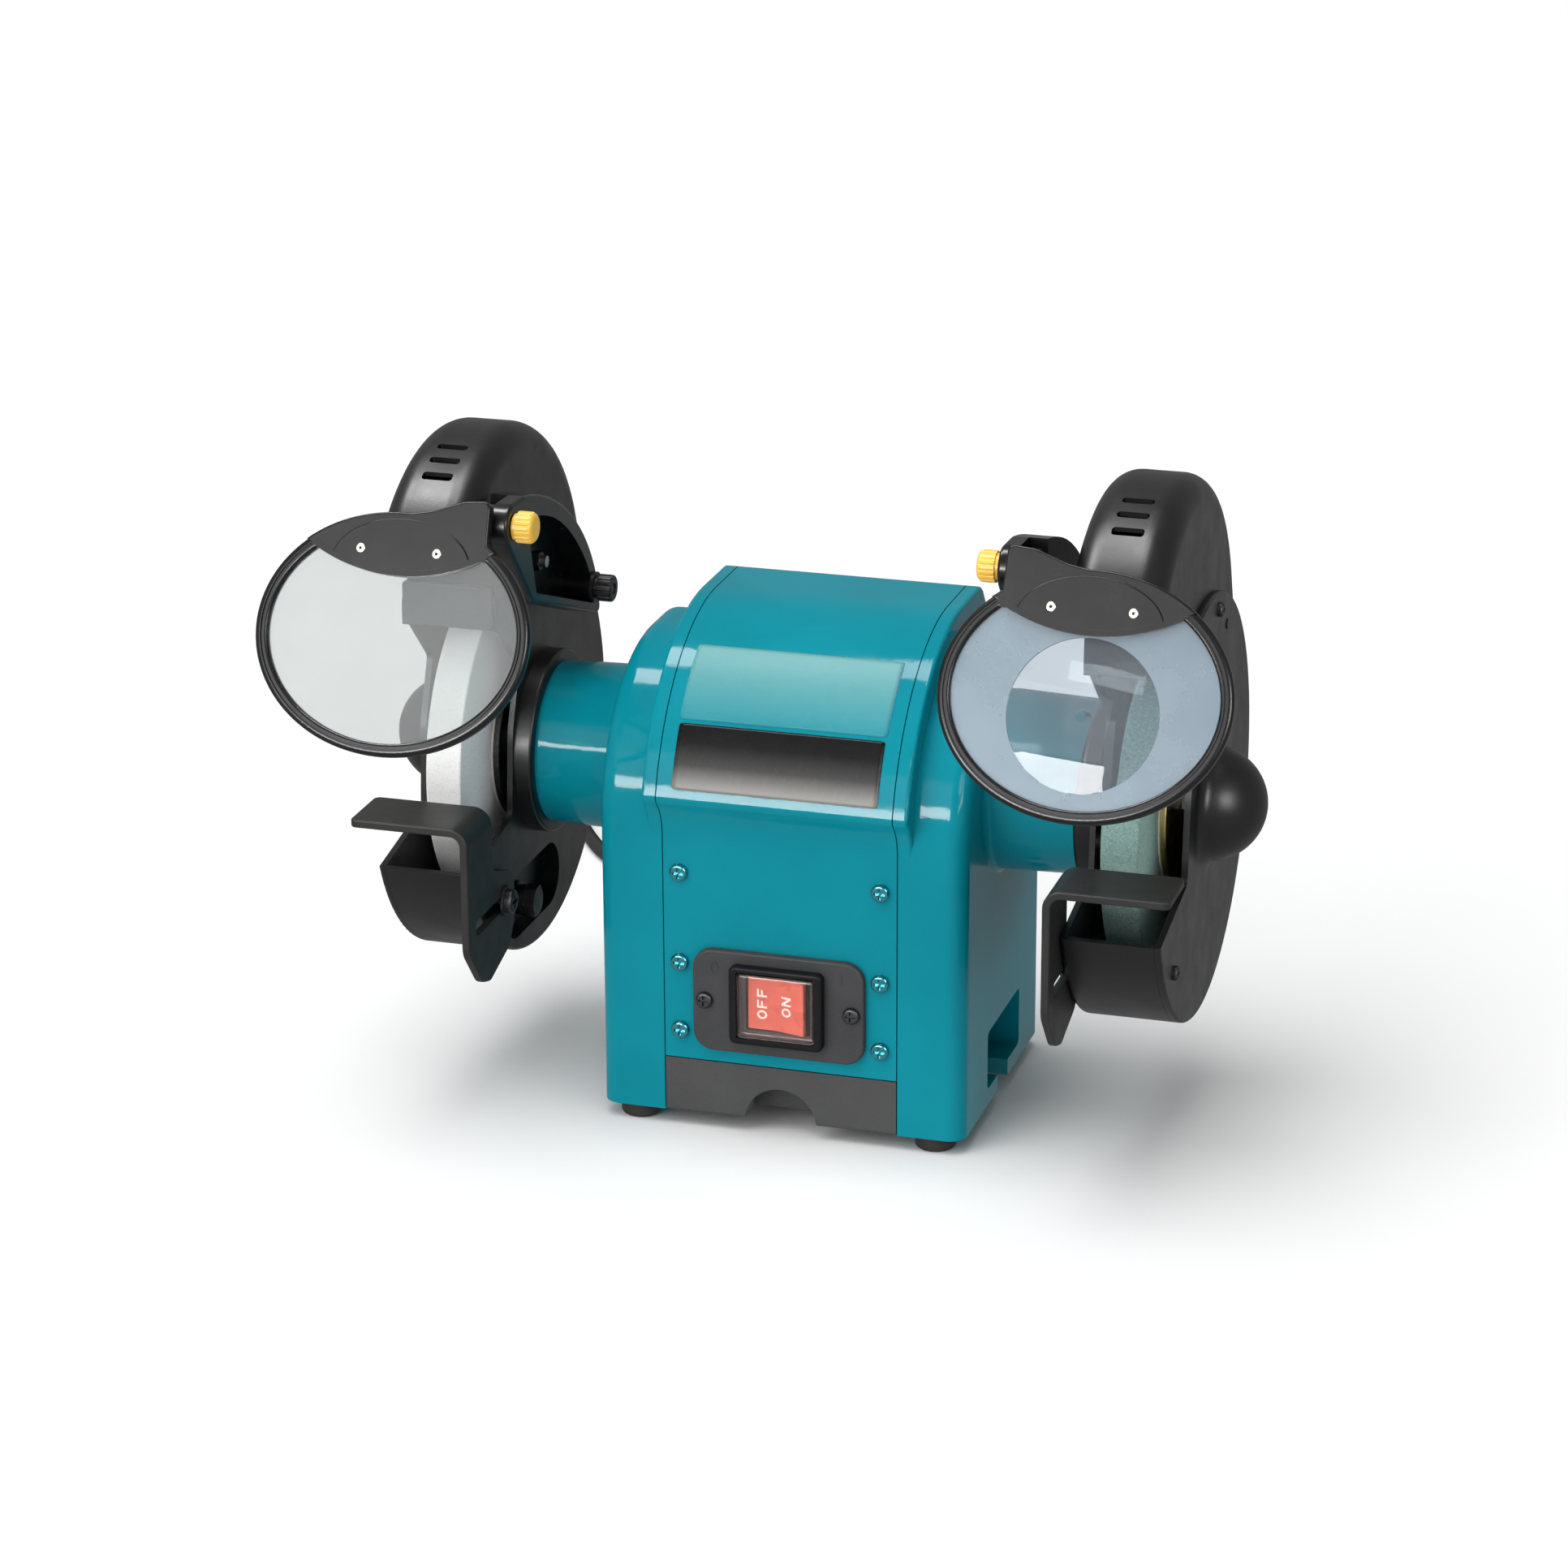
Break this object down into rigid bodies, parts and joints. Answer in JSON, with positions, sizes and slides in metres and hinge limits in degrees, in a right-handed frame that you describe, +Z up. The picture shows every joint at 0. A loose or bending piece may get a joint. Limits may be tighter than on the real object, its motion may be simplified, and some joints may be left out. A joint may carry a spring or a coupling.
{
  "type": "bench grinder",
  "caption": "Double-ended bench grinder with a boxy motor body, guarded abrasive wheels, tilting eye shields, adjustable tool rests, spark arrestors, a rocker switch and a coiled mains lead.",
  "frame": {"origin": "centre of the bounding box without the mains lead, at the underside of the feet", "axes": "+X along the spindle to the right of the user, +Y from the front to the back, +Z up"},
  "size_m": [0.4368, 0.5491, 0.2985],
  "materials": {
    "teal_paint": "gloss enamel",
    "dark_base": "satin",
    "foot_rubber": "matt",
    "zinc_screws": "zinc plated",
    "switch_plastic": "fine texture",
    "black_screws": "black oxide",
    "boot_clear": "clear, soft",
    "rocker_red": "gloss",
    "lamination_steel": "laminated",
    "winding_copper": "varnished",
    "capacitor_can": "gloss",
    "bare_steel": "ground",
    "guard_black": "satin powder coat",
    "arm_plastic": "satin moulded",
    "nut_plastic": "satin",
    "white_wheel": "vitrified grit",
    "green_wheel": "vitrified grit",
    "yellow_zinc": "yellow zinc",
    "blotter_paper": "card",
    "rest_steel": "satin powder coat",
    "arrestor_black": "satin",
    "clear_lens": "clear",
    "tinted_lens": "light tint",
    "magnifier_glass": "clear",
    "rivet_brass": "plated",
    "knob_yellow": "satin moulded",
    "cord_rubber": "satin",
    "plug_plastic": "moulded",
    "pin_brass": "nickel plated",
    "tie_plastic": "satin"
  },
  "bodies": {
    "machine": {"arm_bolts": "zinc_screws", "arm_nuts": "nut_plastic", "base_plate": "dark_base", "bearing_outer_rings": "bare_steel", "cord_coil": "cord_rubber", "cord_gland": "cord_rubber", "cord_tie": "tie_plastic", "cover_screws": "teal_paint", "foot_screws": "zinc_screws", "guard_bolts": "zinc_screws", "guard_cover_screws": "black_screws", "left_end_housing": "teal_paint", "left_guard": "guard_black", "left_guard_cover": "guard_black", "left_shield_arm": "arm_plastic", "motor_cover": "teal_paint", "plug_body": "plug_plastic", "plug_pins": "pin_brass", "power_cord": "cord_rubber", "rest_bolts": "black_screws", "right_end_housing": "teal_paint", "right_guard": "guard_black", "right_guard_cover": "guard_black", "right_shield_arm": "arm_plastic", "rubber_feet": "foot_rubber", "run_capacitor": "capacitor_can", "stator_core": "lamination_steel", "stator_windings": "winding_copper", "switch_body": "switch_plastic", "switch_boot": "boot_clear", "switch_plate": "switch_plastic", "switch_plate_screws": "black_screws", "tie_bolts": "bare_steel"},
    "spindle": {"motor_shaft": "bare_steel", "rotor_core": "lamination_steel", "bearing_inner_sets": "bare_steel", "left_wheel": "white_wheel", "right_wheel": "green_wheel", "inner_flanges": "black_screws", "outer_flanges": "yellow_zinc", "spindle_nuts": "bare_steel", "wheel_blotters": "blotter_paper"},
    "rocker": {"switch_rocker": "rocker_red"},
    "left_rest": {"left_tool_rest": "rest_steel"},
    "left_arrestor": {"left_spark_arrestor": "arrestor_black", "left_arrestor_nut": "bare_steel"},
    "left_shield": {"left_shield_frame": "arm_plastic", "left_shield_lens": "clear_lens", "left_shield_rivets": "rivet_brass"},
    "left_knob": {"left_shield_knob": "knob_yellow", "left_pivot_stud": "bare_steel"},
    "right_rest": {"right_tool_rest": "rest_steel"},
    "right_arrestor": {"right_spark_arrestor": "arrestor_black", "right_arrestor_nut": "bare_steel"},
    "right_shield": {"right_shield_frame": "arm_plastic", "right_shield_lens": "tinted_lens", "right_shield_rivets": "rivet_brass", "right_magnifier": "magnifier_glass"},
    "right_knob": {"right_shield_knob": "knob_yellow", "right_pivot_stud": "bare_steel"}
  },
  "joints": [
    {"name": "spindle_spin", "type": "hinge", "parent": "machine", "child": "spindle", "pos_m": [0, 0.03576, 0.1485], "axis": [1, 0, 0], "continuous": true},
    {"name": "switch_rock", "type": "hinge", "parent": "machine", "child": "rocker", "pos_m": [0, -0.03024, 0.06275], "axis": [0, 0, 1], "range_deg": [0, 16]},
    {"name": "left_rest_slide", "type": "slide", "parent": "machine", "child": "left_rest", "axis": [0, -1, 0], "range_m": [-0.004, 0.006]},
    {"name": "left_arrestor_slide", "type": "slide", "parent": "machine", "child": "left_arrestor", "axis": [0, 0, 1], "range_m": [-0.004, 0.004]},
    {"name": "left_shield_tilt", "type": "hinge", "parent": "machine", "child": "left_shield", "pos_m": [-0.112, -0.06424, 0.2775], "axis": [-1, 0, 0], "range_deg": [-10, 55]},
    {"name": "left_knob_turn", "type": "hinge", "parent": "machine", "child": "left_knob", "pos_m": [-0.1, -0.06424, 0.2775], "axis": [1, 0, 0], "continuous": true},
    {"name": "right_rest_slide", "type": "slide", "parent": "machine", "child": "right_rest", "axis": [0, -1, 0], "range_m": [-0.004, 0.006]},
    {"name": "right_arrestor_slide", "type": "slide", "parent": "machine", "child": "right_arrestor", "axis": [0, 0, 1], "range_m": [-0.004, 0.004]},
    {"name": "right_shield_tilt", "type": "hinge", "parent": "machine", "child": "right_shield", "pos_m": [0.112, -0.06424, 0.2775], "axis": [-1, 0, 0], "range_deg": [-10, 55]},
    {"name": "right_knob_turn", "type": "hinge", "parent": "machine", "child": "right_knob", "pos_m": [0.1, -0.06424, 0.2775], "axis": [1, 0, 0], "continuous": true}
  ]
}
